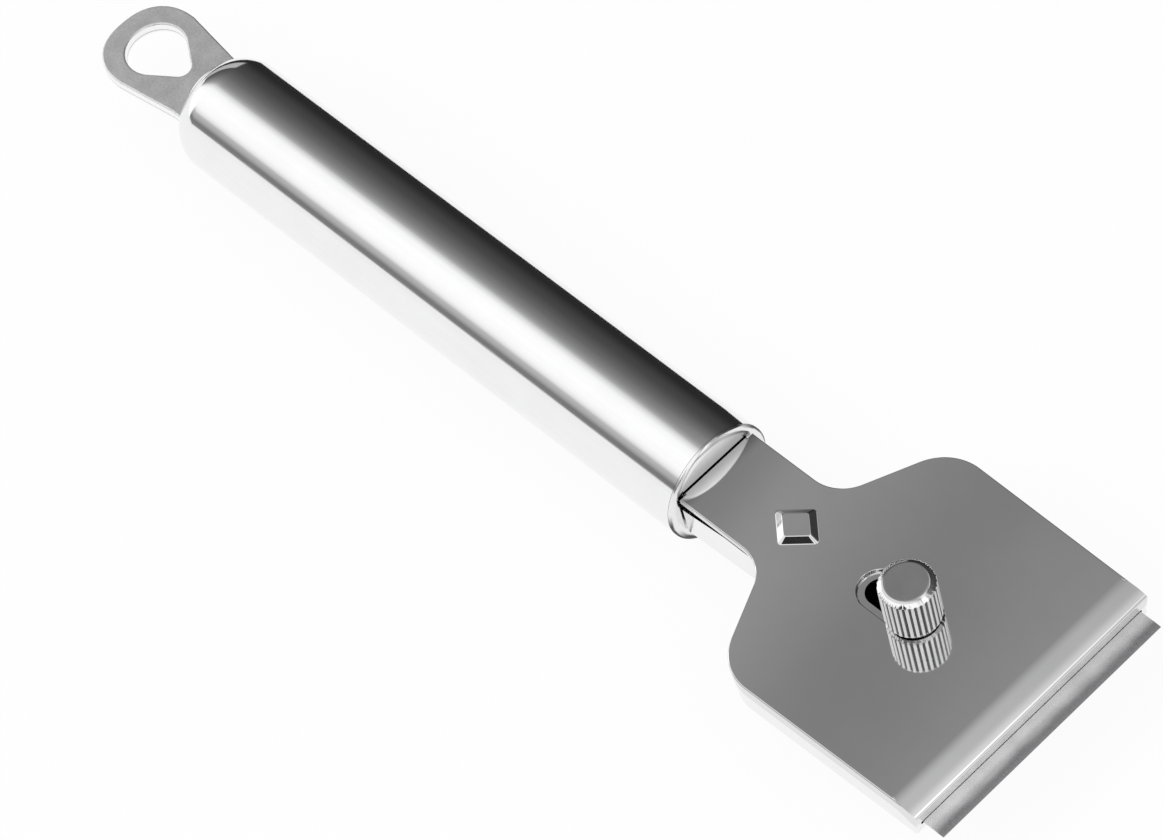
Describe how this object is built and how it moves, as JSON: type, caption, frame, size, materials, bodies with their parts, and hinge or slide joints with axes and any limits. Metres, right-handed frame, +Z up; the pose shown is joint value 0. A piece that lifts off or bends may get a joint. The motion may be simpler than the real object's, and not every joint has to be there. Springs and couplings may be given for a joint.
{
  "type": "razor blade scraper",
  "caption": "Scraper with a round steel handle, a hanging loop and a flat clamshell head whose three-hole blade slides out at the front and is locked by a knurled thumb screw.",
  "frame": {"origin": "under the middle of the overall length, on the surface that the round handle rests on", "axes": "+X from the hanging loop towards the blade's cutting edge, +Y across the head, +Z up through the thumb screw"},
  "size_m": [0.1954, 0.0468, 0.023],
  "materials": {
    "tube_steel": "polished to a soft mirror, with fine lengthwise marks",
    "cap_steel": "bright satin",
    "loop_steel": "matt stamped steel with bright cut edges",
    "plate_steel": "polished to a mirror",
    "tray_steel": "polished",
    "blade_steel": "rolled steel with ground edges",
    "screw_steel": "turned and straight-knurled",
    "zinc_plate": "zinc plated",
    "bush_brass": "turned brass",
    "plug_aluminium": "cast"
  },
  "bodies": {
    "handle_and_head": {"handle_tube": "tube_steel", "front_cap": "cap_steel", "hanging_loop": "loop_steel", "tang_plug": "plug_aluminium", "tang_pin_front": "zinc_plate", "tang_pin_rear": "zinc_plate", "upper_plate": "plate_steel", "lower_tray": "tray_steel"},
    "carrier": {"blade_carrier": "zinc_plate", "locating_pin_left": "zinc_plate", "locating_pin_centre": "zinc_plate", "locating_pin_right": "zinc_plate", "threaded_bush": "bush_brass", "blade": "blade_steel"},
    "washer": {"screw_washer": "zinc_plate"},
    "screw": {"thumb_screw": "screw_steel"}
  },
  "joints": [
    {"name": "carrier_slide", "type": "slide", "parent": "handle_and_head", "child": "carrier", "axis": [1, 0, 0], "range_m": [-0.0064, 0]},
    {"name": "screw_lift", "type": "slide", "parent": "carrier", "child": "washer", "axis": [0, 0, 1], "range_m": [0, 0.0014]},
    {"name": "screw_turn", "type": "hinge", "parent": "washer", "child": "screw", "pos_m": [0.07211, 0, 0.0147], "axis": [0, 0, 1], "range_deg": [0, 725]}
  ],
  "couplings": [
    {"joint": "screw_turn", "follows": "screw_lift", "rad_per_m": 8976}
  ]
}
